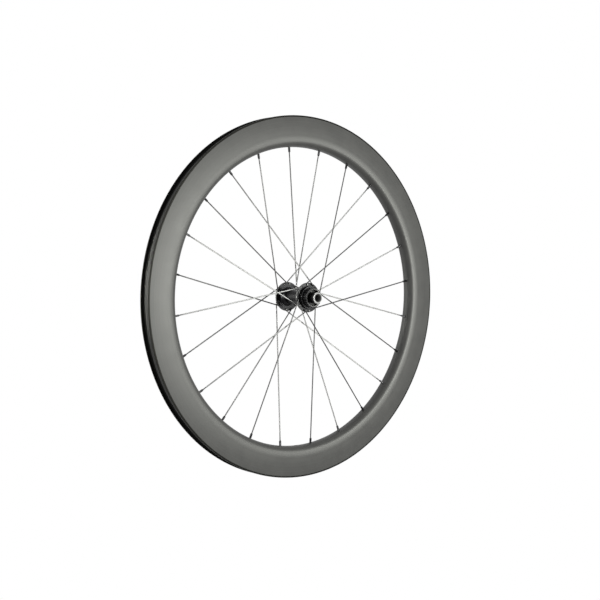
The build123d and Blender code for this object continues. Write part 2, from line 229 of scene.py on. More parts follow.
class WheelColours(bpy.types.PropertyGroup):
    """Colours of the finishes."""

    carbon_dark: colour("Carbon, dark", "Resin between the rim's fibres", 0.010, 0.010, 0.009)
    carbon_light: colour("Carbon, light", "Fibres of the rim", 0.026, 0.026, 0.024)
    # The tyre bed's colour is lighter than the fibres: painted light in the centre well.
    tyre_bed_painted_light: colour("Tyre bed", "Centre well of the rim", 0.030, 0.030, 0.028)
    # The seat and lip colours are painted shade in the tyre channel and on the lips' outer edges.
    seat_painted_shade: colour("Seat black", "Bead seats and insides of the lips", 0.022, 0.022, 0.021)
    lip_painted_shade: colour("Lip black", "Painted shade on the outer edges of the lips", 0.011, 0.011, 0.010)
    anodised: colour("Anodised black", "Hub shell, caps and nipples", 0.012, 0.012, 0.013)
    anodised_light: colour("Anodised grain", "Grain of the anodised parts", 0.030, 0.030, 0.031)
    # Lighter colour on the hub's edges: painted highlight.
    edge_painted_highlight: colour("Painted edge highlights", "Painted highlight on the hub's edges", 0.075, 0.075, 0.074)
    spoke_dark: colour("Spoke black", "Coating of the spokes", 0.062, 0.062, 0.063)
    spoke_light: colour("Spoke wear", "Thinner coating on the spokes", 0.078, 0.078, 0.078)
    bare_alloy: colour("Bare aluminium", "Axle", 0.72, 0.72, 0.71)
    alloy_shade: colour("Turned grooves", "Fine grooves in the axle", 0.50, 0.50, 0.50)
    cap_ring: colour("Cap ring", "Dull bare rings on the ends of the caps", 0.27, 0.27, 0.265)
    cap_ring_shade: colour("Cap ring grooves", "Fine grooves in those rings", 0.22, 0.22, 0.23)
    bore_dark: colour("Bore", "Dark inside of the caps and the axle", 0.040, 0.040, 0.039)
    steel: colour("Bearing steel", "Bearing rings", 0.34, 0.35, 0.36)
    steel_shade: colour("Steel grooves", "Fine grooves in the bearing rings", 0.22, 0.22, 0.23)
    nylon: colour("Nylon", "Ball cages", 0.72, 0.69, 0.60)
    nylon_shade: colour("Nylon shade", "Darker clouds in the ball cages", 0.50, 0.50, 0.50)
    rubber: colour("Rubber", "Seals", 0.016, 0.016, 0.016)
    rubber_bloom: colour("Rubber bloom", "Paler bloom on the seals", 0.036, 0.036, 0.036)
    light: colour("Light", "Tint of the softboxes", 0.985, 1.0, 0.93)
    backdrop: colour("Backdrop", "Floor and backdrop", 1.0, 1.0, 1.0)


class StudioSizes(bpy.types.PropertyGroup):
    """Camera and light of the studio."""

    azimuth: angle("Camera azimuth", "Camera's place round the wheel, from -Y to +X", 140.79)
    elevation: angle("Camera elevation", "Camera's height above the axle", 1.216)
    roll: angle("Camera roll", "Turn of the picture", 1.71)
    distance: length("Camera distance", "From the hub to the camera along the view", 1.8952)
    aside: length("Camera aside", "Camera's step to the right", 0.000263)
    raised: length("Camera raised", "Camera's step up the picture", -0.00514)
    lens: FloatProperty(
        name="Focal length", description="Focal length of the camera in millimetres",
        default=64.432, unit="CAMERA", precision=3)
    fill: FloatProperty(
        name="Fill", description="Strength of the even light from all round",
        default=0.95, min=0)
    key: power("Key", "Softbox beyond the picture's right edge", 28.5)
    front: power("Front", "High softbox that faces the brake side", 0.6)
    overhead: power("Overhead", "Softbox above", 2.0)
    bounce: power("Bounce", "Tall softbox beyond the rear edge of the wheel", 0.6)
    back: power("Back", "Softbox on the far side of the wheel", 4.0)
    strip: power("Strip", "Narrow beam at the front edge of the wheel", 0.12)
    dome_radius: length("Dome radius", "Radius of the white dome round the studio", 9.0)


def smooth(piece):
    """Smooth shading, with edges sharp where faces meet at more than the sharp angle."""
    piece.data.polygons.foreach_set("use_smooth", [True] * len(piece.data.polygons))
    piece.data.set_sharp_from_angle(angle=SHARP_ANGLE)


def placed(name, mesh):
    """A smooth object for a mesh, put into the scene."""
    piece = bpy.data.objects.new(name, mesh)
    bpy.context.scene.collection.objects.link(piece)
    smooth(piece)
    return piece


def solid(name, points, faces):
    """A piece from points and faces."""
    mesh = bpy.data.meshes.new(name)
    mesh.from_pydata(points, [], faces)
    return placed(name, mesh)


def rounded(corners):
    """A closed outline in which each (radius, offset, rounding) corner becomes an arc."""
    outline = []
    befores, afters = corners[-1:] + corners[:-1], corners[1:] + corners[:1]
    for before, corner, after in zip(befores, corners, afters):
        point, rounding = Vector(corner[:2]), corner[2]
        back = (Vector(before[:2]) - point).normalized()
        ahead = (Vector(after[:2]) - point).normalized()
        half = back.angle(ahead) / 2
        if rounding == 0:
            outline.append(point)
            continue
        centre = point + (back + ahead).normalized() * (rounding / sin(half))
        start = point + back * (rounding / tan(half)) - centre
        end = point + ahead * (rounding / tan(half)) - centre
        steps = max(2, ceil((pi - 2 * half) * sqrt(rounding / (8 * ARC_TOLERANCE))))
        outline += [
            centre + start.slerp(end, step / steps) * rounding for step in range(steps + 1)]
    return outline


def wound(outline, anticlockwise):
    """The outline, turned round if it doesn't run the asked way."""
    pairs = zip(outline, outline[1:] + outline[:1])
    area = sum(here.x * there.y - there.x * here.y for here, there in pairs)
    return outline if (area > 0) == anticlockwise else outline[::-1]


def plain_radius(radius, offset, turn):
    """A turned piece without teeth."""
    return radius


def turned(name, outside, hollows=(), segments=RING_SEGMENTS, radius_at=plain_radius):
    """A piece turned about the axle from a closed outline and its closed hollows."""
    points, faces = [], []
    outlines = [wound(outside, True)] + [wound(hollow, False) for hollow in hollows]
    for outline in outlines:
        base, ring = len(points), len(outline)
        for segment in range(segments):
            turn = 2 * pi * segment / segments
            for radius, offset in outline:
                reach = radius_at(radius, offset, turn)
                points.append((reach * sin(turn), offset, reach * cos(turn)))
            here, there = base + segment * ring, base + (segment + 1) % segments * ring
            for k in range(ring):
                after = (k + 1) % ring
                faces.append((here + k, there + k, there + after, here + after))
    return solid(name, points, faces)


def lofted(name, stacks, closed):
    """One piece from stacks of equal rings; a closed stack joins its last ring to its first."""
    shape = bmesh.new()
    for rings in stacks:
        loops = [[shape.verts.new(point) for point in ring] for ring in rings]
        followers = loops[1:] + loops[:1] if closed else loops[1:]
        for low, high in zip(loops, followers):
            for k in range(len(low)):
                after = (k + 1) % len(low)
                shape.faces.new((low[k], low[after], high[after], high[k]))
        if not closed:
            shape.faces.new(loops[0])
            shape.faces.new(loops[-1])
    bmesh.ops.recalc_face_normals(shape, faces=shape.faces)
    mesh = bpy.data.meshes.new(name)
    shape.to_mesh(mesh)
    shape.free()
    return placed(name, mesh)


def section(origin, across, heading, half_width, half_height, squareness=ROUND):
    """A ring of points across a wire: an ellipse, or a rounded square as squareness grows."""
    upright = heading.cross(across)
    exponent = 2 / squareness
    ring = []
    for step in range(WIRE_POINTS):
        turn = 2 * pi * (step + 0.5) / WIRE_POINTS
        wide = copysign(abs(cos(turn)) ** exponent, cos(turn))
        high = copysign(abs(sin(turn)) ** exponent, sin(turn))
        ring.append(origin + across * (half_width * wide) + upright * (half_height * high))
    return ring


def drill(piece, holes):
    """Cut round (start, end, radius) holes out of a piece."""
    points, faces = [], []
    for start, end, radius in holes:
        heading = (end - start).normalized()
        across = heading.orthogonal().normalized()
        upright = heading.cross(across)
        low, high = len(points), len(points) + DRILL_POINTS
        for place in (start, end):
            for step in range(DRILL_POINTS):
                turn = 2 * pi * step / DRILL_POINTS
                points.append(place + (across * cos(turn) + upright * sin(turn)) * radius)
        for step in range(DRILL_POINTS):
            after = (step + 1) % DRILL_POINTS
            faces.append((low + step, low + after, high + after, high + step))
        faces.append(tuple(low + step for step in reversed(range(DRILL_POINTS))))
        faces.append(tuple(high + step for step in range(DRILL_POINTS)))
    drills = solid("drills", points, faces)
    cut = piece.modifiers.new("Holes", "BOOLEAN")
    cut.operation = "DIFFERENCE"
    cut.solver = "EXACT"
    cut.object = drills
    blank = piece.data
    evaluated = piece.evaluated_get(bpy.context.evaluated_depsgraph_get())
    piece.data = bpy.data.meshes.new_from_object(evaluated)
    piece.modifiers.clear()
    piece.data.name = blank.name
    bpy.data.meshes.remove(blank)
    bpy.data.meshes.remove(drills.data)
    smooth(piece)


class SpokeLine:
    """The line of one spoke, from its hole in a flange, round the elbow and out to the rim.

    Spokes are numbered clockwise from the top, seen from the brake side.  Odd ones go to the left
    flange and even ones to the right.  On each flange every other spoke leads, with its head
    outside the flange.
    """

    def __init__(self, sizes, tip_radius, number):
        leading = number % 4 in (0, 1)
        reach = 2 * sizes.crossings * (-1 if leading else 1)
        side = 1 if number % 2 else -1
        flange = side * (sizes.left_flange if number % 2 else sizes.right_flange)
        self.pitch = 2 * pi / sizes.count
        self.nipple_spot = self.spot(number, tip_radius)
        hole = self.spot(number + reach, sizes.circle_radius)
        half = sizes.flange_thickness / 2
        self.through = Vector((0, -side if leading else side, 0))
        middle = hole + Vector((0, flange, 0))
        self.head_seat = middle - self.through * half
        elbow_start = middle + self.through * half
        across = self.nipple_spot - hole
        self.outward = across.normalized()
        self.across_wire = self.through.cross(self.outward)
        self.elbow_radius = sizes.elbow_radius
        self.elbow_centre = elbow_start + self.outward * self.elbow_radius
        reach_out = across.length - self.elbow_radius
        reach_through = (self.nipple_spot - elbow_start).dot(self.through)
        swing = asin(self.elbow_radius / hypot(reach_out, reach_through))
        self.bend = pi / 2 - atan2(reach_through, reach_out) + swing
        self.run_start, self.direction = self.elbow(self.bend)
        self.run_length = (self.nipple_spot - self.run_start).length

    def spot(self, place, radius):
        """A point in the rim's centre plane, at a spoke place counted round the wheel."""
        turn = self.pitch * (place - TOP_PLACE)
        return Vector((-sin(turn), 0, cos(turn))) * radius

    def elbow(self, turn):
        """The wire's middle and heading at an angle round the elbow."""
        spoke = self.through * sin(turn) - self.outward * cos(turn)
        heading = self.through * cos(turn) + self.outward * sin(turn)
        return self.elbow_centre + spoke * self.elbow_radius, heading


def spoke_lines(scene):
    """The lines of all the spokes."""
    sizes, tip_radius = scene.wheel_spokes, scene.wheel_rim.tip_radius
    return [SpokeLine(sizes, tip_radius, number) for number in range(1, sizes.count + 1)]


class Value:
    """A shader value; arithmetic on it adds Math nodes to its finish."""

    def __init__(self, finish, node, output):
        self.finish, self.node, self.socket = finish, node, node.outputs[output]

    def output(self, name):
        """Another output of the same node."""
        return Value(self.finish, self.node, name)

    def math(self, operation, first, second):
        """A Math node on two values or numbers."""
        return self.finish.add("ShaderNodeMath", {"operation": operation}, {0: first, 1: second})

    def __add__(self, other):
        return self.math("ADD", self, other)

    def __radd__(self, other):
        return self.math("ADD", other, self)

    def __sub__(self, other):
        return self.math("SUBTRACT", self, other)

    def __rsub__(self, other):
        return self.math("SUBTRACT", other, self)

    def __mul__(self, other):
        return self.math("MULTIPLY", self, other)

    def __rmul__(self, other):
        return self.math("MULTIPLY", other, self)

    def __pow__(self, other):
        return self.math("POWER", self, other)

    def __rpow__(self, other):
        return self.math("POWER", other, self)


class Finish:
    """A procedural material with a Principled shader."""

    def __init__(self, name, **constants):
        self.material = bpy.data.materials.new(name)
        self.material.use_nodes = True
        self.tree = self.material.node_tree
        self.shader = self.tree.nodes["Principled BSDF"]
        for socket, value in constants.items():
            self.shader.inputs[socket.replace("_", " ")].default_value = value
        self.place = self.add("ShaderNodeTexCoord", output="Object")
        parts = self.add("ShaderNodeSeparateXYZ", inputs={"Vector": self.place}, output="X")
        self.x, self.y, self.z = parts, parts.output("Y"), parts.output("Z")

    def add(self, kind, settings=None, inputs=None, output=0):
        """A node of a kind, with its settings first and then its sockets' values or links."""
        node = self.tree.nodes.new(kind)
        for name, value in (settings or {}).items():
            setattr(node, name, value)
        for name, value in (inputs or {}).items():
            if isinstance(value, Value):
                self.tree.links.new(value.socket, node.inputs[name])
            else:
                node.inputs[name].default_value = value
        return Value(self, node, output)

    def feed(self, socket, value):
        """Link a varying value to a socket of the shader."""
        self.tree.links.new(value.socket, self.shader.inputs[socket])

    def noise(self, scale, detail=2.0, roughness=0.5, vector=None, dimensions="3D"):
        """Cloudy noise, in features per metre."""
        inputs = {"Vector": vector or self.place, "Scale": scale, "Detail": detail,
                  "Roughness": roughness}
        return self.add("ShaderNodeTexNoise", {"noise_dimensions": dimensions}, inputs)

    def radius(self):
        """Distance from the axle."""
        return (self.x * self.x + self.z * self.z) ** 0.5

    def offset(self):
        """Distance from the rim's centre plane."""
        return (self.y * self.y) ** 0.5

    def turning_lines(self, scale):
        """Noise that is even round the axle, as fibres or tool marks laid round it are."""
        across = self.add("ShaderNodeCombineXYZ", inputs={"X": self.radius(), "Y": self.y})
        return self.noise(scale, detail=3.0, roughness=0.6, vector=across, dimensions="2D")

    def step(self, value, low, high):
        """A smooth change from 0 to 1 as a value goes from low to high."""
        inputs = {"Value": value, "From Min": low, "From Max": high}
        return self.add("ShaderNodeMapRange", {"interpolation_type": "SMOOTHSTEP"}, inputs)

    def mix(self, share, first, second):
        """A colour between two colours, each a colour or a link."""
        ends = [end if isinstance(end, Value) else (*end, 1.0) for end in (first, second)]
        inputs = {"Factor": share, MIX_FIRST: ends[0], MIX_SECOND: ends[1]}
        return self.add("ShaderNodeMix", {"data_type": "RGBA"}, inputs, MIX_RESULT)

    def shade(self, pattern, low, high, dark, light):
        """A colour that goes from dark to light as a pattern goes from low to high."""
        return self.mix(self.step(pattern, low, high), dark, light)

    def paint(self, pattern, low, high, dark, light):
        """Such a shade all over the surface."""
        self.feed("Base Color", self.shade(pattern, low, high, dark, light))

    def roughen(self, pattern, least, gain):
        """Roughness that grows by a gain as a pattern goes from 0 to 1."""
        self.feed("Roughness", least + pattern * gain)

    def bump(self, height, strength, distance):
        """Fine relief on the shader's normal."""
        inputs = {"Height": height, "Strength": strength, "Distance": distance}
        self.feed("Normal", self.add("ShaderNodeBump", inputs=inputs))


def carbon(colours, rim):
    """Satin carbon with fibres laid round the rim, painted shade on the lips and seats, and a
    duller bed lightened with painted light.
    """
    finish = Finish("satin_carbon")
    fibres = finish.turning_lines(scale=2600.0)
    lay = finish.noise(scale=45.0, detail=3.0)
    fibre_share = 0.75
    weave = finish.shade(
        fibres * fibre_share + lay * (1 - fibre_share), low=0.35, high=0.65,
        dark=colours.carbon_dark, light=colours.carbon_light)

    radius, offset, soft = finish.radius(), finish.offset(), rim.lip_inner_rounding
    # Masks for painted light on the tyre bed, and for painted shade on the bead seats, the lips'
    # insides and the lips' outer edges.
    bed_radius = rim.edge_radius - rim.lip_height - rim.well_depth
    outward = finish.step(radius, bed_radius - 2 * soft, bed_radius - soft)
    seat_edge = rim.channel_half_width - rim.seat_width
    on_seat = finish.step(offset, seat_edge, seat_edge + 2 * soft)
    past_lip = finish.step(
        offset, rim.channel_half_width + soft / 2, rim.channel_half_width + 2 * soft)
    bed = outward * (1 - on_seat)
    seat = outward * on_seat * (1 - past_lip)
    starts, whole = 2.8, 2.0  # depths of the painted shade along the lip's outer edge, in roundings of the lip
    lip = finish.step(radius, rim.edge_radius - starts * rim.lip_rounding,
                      rim.edge_radius - whole * rim.lip_rounding)

    channel = finish.mix(seat, finish.mix(bed, weave, colours.tyre_bed_painted_light), colours.seat_painted_shade)
    finish.feed("Base Color", finish.mix(lip, channel, colours.lip_painted_shade))
    # Seats and lips are metallic, so their dark colour takes no diffuse light: part of the painted
    # shade.
    finish.feed("Metallic", 1 - (1 - seat) * (1 - lip))
    satin, uneven, duller = 0.41, 0.08, 0.2
    finish.feed("Roughness", satin + lay * uneven + bed * duller)
    finish.bump(fibres, strength=0.04, distance=0.0001)
    return finish.material


def anodised_black(colours, hub, mouth):
    """Black anodised aluminium, bead blasted over turning lines, with painted highlights on its
    outer edges.
    """
    finish = Finish("black_anodised", Metallic=1.0)
    grain = finish.noise(scale=3500.0)
    lines = finish.turning_lines(scale=4000.0)
    radius, edge = finish.radius(), hub.edge_rounding
    # Lighter colour on the flanges' rims and round the mouth of the shell's left end: painted
    # highlights on those edges.
    flange_painted_highlight = finish.step(radius, hub.flange_radius - 2 * edge, hub.flange_radius - edge)
    mouth_painted_highlight = finish.step(finish.y, SHELL.left - 3 * edge, SHELL.left - 2 * edge)
    past_mouth = finish.step(radius, mouth + 2 * edge, mouth + 3 * edge)
    black = finish.shade(
        grain, low=0.40, high=0.72, dark=colours.anodised, light=colours.anodised_light)
    # Both painted highlights, laid over the black.
    wear = flange_painted_highlight + mouth_painted_highlight * (1 - past_mouth)
    finish.feed("Base Color", finish.mix(wear, black, colours.edge_painted_highlight))
    finish.roughen(lines, least=0.26, gain=0.16)
    grain_share = 0.6
    relief = grain * grain_share + lines * (1 - grain_share)
    finish.bump(relief, strength=0.12, distance=0.00005)
    return finish.material


def cap_black(colours, bare_from, ring_from):
    """Black anodised caps, with a bare ring turned round their ends and a dull dark bore."""
    finish = Finish("cap_black")
    lines = finish.turning_lines(scale=5000.0)
    grain = finish.noise(scale=3500.0)
    inside = 1 - finish.step(finish.radius(), ring_from - MASK_EDGE, ring_from + MASK_EDGE)
    end = finish.step(finish.offset(), bare_from - MASK_EDGE, bare_from + MASK_EDGE)
    bare = end * (1 - inside)
    black = finish.shade(
        grain, low=0.40, high=0.72, dark=colours.anodised, light=colours.anodised_light)
    ring = finish.shade(
        lines, low=0.35, high=0.65, dark=colours.cap_ring_shade, light=colours.cap_ring)
    outside = finish.mix(bare, black, ring)
    finish.feed("Base Color", finish.mix(inside, outside, colours.bore_dark))
    finish.feed("Metallic", 1 - inside - bare)
    gloss, uneven, duller = 0.24, 0.16, 0.2
    finish.feed("Roughness", gloss + lines * uneven + (inside + bare) * duller)
    finish.bump(lines * (1 - bare), strength=0.10, distance=0.00004)
    return finish.material


def turned_alloy(colours, bore, bare_from):
    """Bare aluminium with fine turning lines, and a dark bore that is bare at its ends."""
    finish = Finish("turned_alloy")
    lines = finish.turning_lines(scale=5000.0)
    outside = finish.step(finish.radius(), bore + MASK_EDGE, bore + 2 * MASK_EDGE)
    end = finish.step(finish.offset(), bare_from - 2 * MASK_EDGE, bare_from)
    dark = (1 - outside) * (1 - end)
    alloy = finish.shade(
        lines, low=0.35, high=0.65, dark=colours.alloy_shade, light=colours.bare_alloy)
    finish.feed("Base Color", finish.mix(dark, alloy, colours.bore_dark))
    finish.feed("Metallic", 1 - dark)
    gloss, uneven, duller = 0.25, 0.20, 0.2
    finish.feed("Roughness", gloss + lines * uneven + dark * duller)
    finish.bump(lines, strength=0.12, distance=0.00004)
    return finish.material


def coated_wire(colours):
    """Black coated stainless wire, thinner in places."""
    finish = Finish("black_coated_wire", Metallic=1.0)
    wear = finish.noise(scale=900.0, detail=4.0, roughness=0.6)
    finish.paint(wear, low=0.42, high=0.75, dark=colours.spoke_dark, light=colours.spoke_light)
    finish.roughen(wear, least=0.31, gain=0.06)
    finish.bump(wear, strength=0.002, distance=0.00003)
    return finish.material


def nipple_black(colours):
    """Black anodised nipples, with a soft grain."""
    finish = Finish("nipple_black", Metallic=1.0)
    grain = finish.noise(scale=4200.0)
    finish.paint(grain, low=0.40, high=0.75, dark=colours.anodised, light=colours.anodised_light)
    finish.roughen(grain, least=0.24, gain=0.14)
    finish.bump(grain, strength=0.08, distance=0.00004)
    return finish.material


def seal_rubber(colours):
    """Black rubber with a pale bloom."""
    finish = Finish("seal_rubber", Specular_IOR_Level=0.4)
    bloom = finish.noise(scale=700.0, detail=4.0)
    finish.paint(bloom, low=0.40, high=0.75, dark=colours.rubber, light=colours.rubber_bloom)
    finish.roughen(bloom, least=0.55, gain=0.25)
    finish.bump(finish.noise(scale=5000.0), strength=0.15, distance=0.00005)
    return finish.material


def bearing_steel(colours):
    """Ground steel with fine lines round it."""
    finish = Finish("bearing_steel", Metallic=1.0)
    lines = finish.turning_lines(scale=6000.0)
    finish.paint(lines, low=0.35, high=0.65, dark=colours.steel_shade, light=colours.steel)
    finish.roughen(lines, least=0.16, gain=0.14)
    return finish.material


def cage_nylon(colours):
    """Moulded nylon, slightly uneven."""
    finish = Finish("cage_nylon")
    cloud = finish.noise(scale=1200.0, detail=3.0)
    finish.paint(cloud, low=0.30, high=0.70, dark=colours.nylon_shade, light=colours.nylon)
    finish.roughen(cloud, least=0.45, gain=0.15)
    return finish.material


def dress(piece, material, slot, body, *nodes):
    """Give a new piece its finish, its body and the CAD nodes that it stands for."""
    piece.data.materials.clear()
    piece.data.materials.append(material)
    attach(piece, body)
    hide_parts(*nodes)


def dress_node(node, material):
    """Give a CAD node that stays its finish."""
    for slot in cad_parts[node].material_slots:
        slot.material = material


class RimSection:
    """The rim's section: a round nose, and sides that swell and then draw in to the lips."""

    def __init__(self, rim):
        self.rim = rim
        nose_reach = rim.half_width - rim.side_swell - rim.nose_half_flat
        self.nose_rounding = nose_reach / cos(rim.side_lean)
        self.foot_radius = rim.tip_radius + self.nose_rounding * (1 - sin(rim.side_lean))
        self.widest_radius = self.foot_radius + rim.side_swell / tan(rim.side_lean / 2)

    @staticmethod
    def both_sides(half):
        """Corners of the left half, followed by their mirror images."""
        mirrored = [(radius, -offset, rounding) for radius, offset, rounding in reversed(half)]
        return rounded(half + mirrored)

    def outside(self):
        """The tyre bed, the lips, the sides and the nose."""
        rim = self.rim
        seat = rim.edge_radius - rim.lip_height
        seat_edge = rim.channel_half_width - rim.seat_width
        nose_corner = rim.nose_half_flat + self.nose_rounding * tan((pi / 2 - rim.side_lean) / 2)
        swell_rounding = rim.side_swell / (1 - cos(rim.side_lean))
        swell_corner = self.widest_radius - swell_rounding * tan(rim.side_lean / 2)
        reach = rim.edge_radius - self.widest_radius
        draw_in = rim.half_width - rim.lip_half_width
        chord_squared = reach ** 2 + draw_in ** 2
        side_corner = self.widest_radius + chord_squared / (2 * reach)
        side_rounding = chord_squared / (2 * draw_in)
        return self.both_sides([
            (seat - rim.well_depth, seat_edge - rim.slope_width, rim.bed_rounding),
            (seat, seat_edge, rim.bed_rounding),
            (seat, rim.channel_half_width, rim.bed_rounding / 2),
            (rim.edge_radius, rim.channel_half_width, rim.lip_inner_rounding),
            (rim.edge_radius, rim.lip_half_width, rim.lip_rounding),
            (side_corner, rim.half_width, LARGEST_ARC * side_rounding),
            (swell_corner, rim.half_width, LARGEST_ARC * swell_rounding),
            (rim.tip_radius, nose_corner, LARGEST_ARC * self.nose_rounding),
        ])

    def hollow(self):
        """The closed air space inside."""
        rim = self.rim
        roof = rim.edge_radius - rim.lip_height - rim.well_depth - rim.bed_wall
        floor = rim.tip_radius + rim.nose_wall
        return self.both_sides([
            (roof, rim.lip_half_width - rim.side_wall, rim.side_wall),
            (self.widest_radius, rim.half_width - rim.side_wall, self.nose_rounding),
            (self.foot_radius, rim.half_width - rim.side_swell - rim.side_wall, rim.side_wall),
            (floor, self.nose_rounding / 2, rim.side_wall),
        ])


class WHEEL_OT_rim(bpy.types.Operator):
    """Build the hollow rim with its nipple holes and valve hole"""

    bl_idname = "front_wheel.rim"
    bl_label = "Rim"

    def execute(self, context):
        rim, spokes = context.scene.wheel_rim, context.scene.wheel_spokes
        shape = RimSection(rim)
        piece = turned("carbon_rim", shape.outside(), [shape.hollow()], RIM_SEGMENTS)
        reach = 2 * rim.nose_wall
        holes = []
        for line in spoke_lines(context.scene):
            half = line.direction * reach
            holes.append((line.nipple_spot - half, line.nipple_spot + half, spokes.nipple_hole))
        down = Vector((0, 0, -1))
        inside = down * (rim.tip_radius - reach)
        holes.append((inside, down * rim.edge_radius, rim.valve_radius))
        drill(piece, holes)
        dress(piece, carbon(context.scene.wheel_colours, rim), "carbon", "wheel", "rim")
        return {"FINISHED"}


def spoke_rings(line, sizes):
    """Sections of a spoke, from the top of its head to its end in the nipple."""
    dome_steps, elbow_steps, taper_steps = 5, 9, 6
    cone_top, cone_foot, foot_swell = 0.9, 0.25, 1.08  # shares of the cone and of the wire
    rings = []
    wire = sizes.wire_radius

    def round_ring(origin, heading, radius):
        rings.append(section(origin, line.across_wire, heading, radius, radius))

    def head_ring(height, radius):
        round_ring(line.head_seat - line.through * height, line.through, radius)

    def run_ring(distance, flatness):
        wide = wire + (sizes.blade_half_width - wire) * flatness
        thin = wire + (sizes.blade_half_thickness - wire) * flatness
        squareness = ROUND + (SQUARE - ROUND) * flatness
        origin = line.run_start + line.direction * distance
        rings.append(
            section(origin, line.across_wire, line.direction, wide, thin, squareness))

    def taper(start, reach, begin, end):
        for step in range(taper_steps + 1):
            share = step / taper_steps
            flatness = begin + (end - begin) * share
            run_ring(start + reach * share, flatness * flatness * (3 - 2 * flatness))

    dome, inner = sizes.head_rounding, sizes.head_radius - sizes.head_rounding
    head_ring(sizes.head_height, inner / 2)
    for step in range(dome_steps + 1):
        turn = pi / 2 * (1 - step / dome_steps)
        head_ring(sizes.head_height - dome + dome * sin(turn), inner + dome * cos(turn))
    head_ring(sizes.head_cone * cone_top, sizes.head_radius)
    head_ring(sizes.head_cone * cone_foot, wire * foot_swell)
    head_ring(0, wire)
    for step in range(elbow_steps + 1):
        origin, heading = line.elbow(line.bend * step / elbow_steps)
        round_ring(origin, heading, wire)
    taper(sizes.elbow_straight, sizes.elbow_taper - sizes.elbow_straight, 0, 1)
    blade_end = line.run_length - sizes.thread_round - sizes.thread_taper
    taper(blade_end, sizes.thread_taper, 1, 0)
    run_ring(line.run_length + sizes.nipple_seat + sizes.nipple_cone, 0)
    return rings


class WHEEL_OT_spokes(bpy.types.Operator):
    """Build the bladed spokes with their heads and elbows"""

    bl_idname = "front_wheel.spokes"
    bl_label = "Spokes"

    def execute(self, context):
        wire = coated_wire(context.scene.wheel_colours)
        for number, line in enumerate(spoke_lines(context.scene), start=1):
            rings = spoke_rings(line, context.scene.wheel_spokes)
            piece = lofted(f"bladed_spoke_{number:02d}", [rings], closed=False)
            dress(piece, wire, "spoke_black", "wheel", f"spoke_{number:02d}")
        return {"FINISHED"}


def nipple_rows(sizes):
    """(height, half width, squareness) of a nipple's sections, up its outside and down its bore."""
    soft_square, oval, edge_share = 3.2, 2.2, 0.15
    tip, edge = -sizes.nipple_shown, edge_share * sizes.nipple_tip_length
    head_base = sizes.nipple_seat + sizes.nipple_cone
    head_top = head_base + sizes.nipple_head_height
    return [
        (tip, sizes.nipple_tip - edge, oval),
        (tip + edge, sizes.nipple_tip, oval),
        (tip + sizes.nipple_tip_length, sizes.nipple_flats, SQUARE),
        (tip + 2 * sizes.nipple_tip_length, sizes.nipple_flats, SQUARE),
        (sizes.nipple_seat, sizes.nipple_flats, SQUARE),
        (head_base, sizes.nipple_head, soft_square),
        (head_top - edge, sizes.nipple_head, soft_square),
        (head_top, sizes.nipple_head - edge, soft_square),
        (head_top, sizes.nipple_bore, ROUND),
        (tip, sizes.nipple_bore, ROUND),
    ]


class WHEEL_OT_nipples(bpy.types.Operator):
    """Build the square nipples that hold the spokes in the rim"""

    bl_idname = "front_wheel.nipples"
    bl_label = "Nipples"

    def execute(self, context):
        rows = nipple_rows(context.scene.wheel_spokes)
        stacks = []
        for line in spoke_lines(context.scene):
            stacks.append([
                section(line.nipple_spot + line.direction * height, line.across_wire,
                        line.direction, half, half, squareness)
                for height, half, squareness in rows
            ])
        piece = lofted("nipple_set", stacks, closed=True)
        finish = nipple_black(context.scene.wheel_colours)
        dress(piece, finish, "nipple_black", "wheel", "spoke_nipples")
        return {"FINISHED"}


def hub_outline(hub, spokes, mouth):
    """The hub shell's section, from its left end over the flanges and back inside."""
    half = spokes.flange_thickness / 2
    left_in, left_out = spokes.left_flange - half, spokes.left_flange + half
    right_in, right_out = half - spokes.right_flange, -half - spokes.right_flange
    edge, flange, root = hub.edge_rounding, hub.flange_rounding, hub.root_rounding
    return rounded([
        (mouth, SHELL.left, edge),
        (hub.seat_radius, SHELL.left, edge),
        (hub.seat_radius, hub.shoulder_face, edge),
        (hub.shoulder_radius, hub.shoulder_face, edge),
        (hub.shoulder_radius, hub.shoulder_face - hub.shoulder_thickness, edge),
        (hub.neck_radius, left_out, 2 * edge),
        (hub.flange_radius, left_out, flange),
        (hub.flange_radius, left_in, flange),
        (hub.root_radius, left_in, 4 * edge),
        (hub.tube_radius, left_in - hub.root_length, root),
        (hub.tube_radius, right_in + hub.root_length, root),
        (hub.root_radius, right_in, 4 * edge),
        (hub.flange_radius, right_in, flange),
        (hub.flange_radius, right_out, flange),
        (hub.root_radius, right_out, 2 * edge),
        (hub.root_radius, SHELL.right, 2 * edge),
        (SEAL.outer, SHELL.right, edge),
        (SEAL.outer, RIGHT_RING.left, 0),
        (SHELL.inner, RIGHT_RING.left, 0),
        (SHELL.inner, LEFT_RING.right, 0),
        (SEAL.outer, LEFT_RING.right, 0),
        (SEAL.outer, SEAL.left, edge),
        (mouth, SEAL.left, edge),
    ])


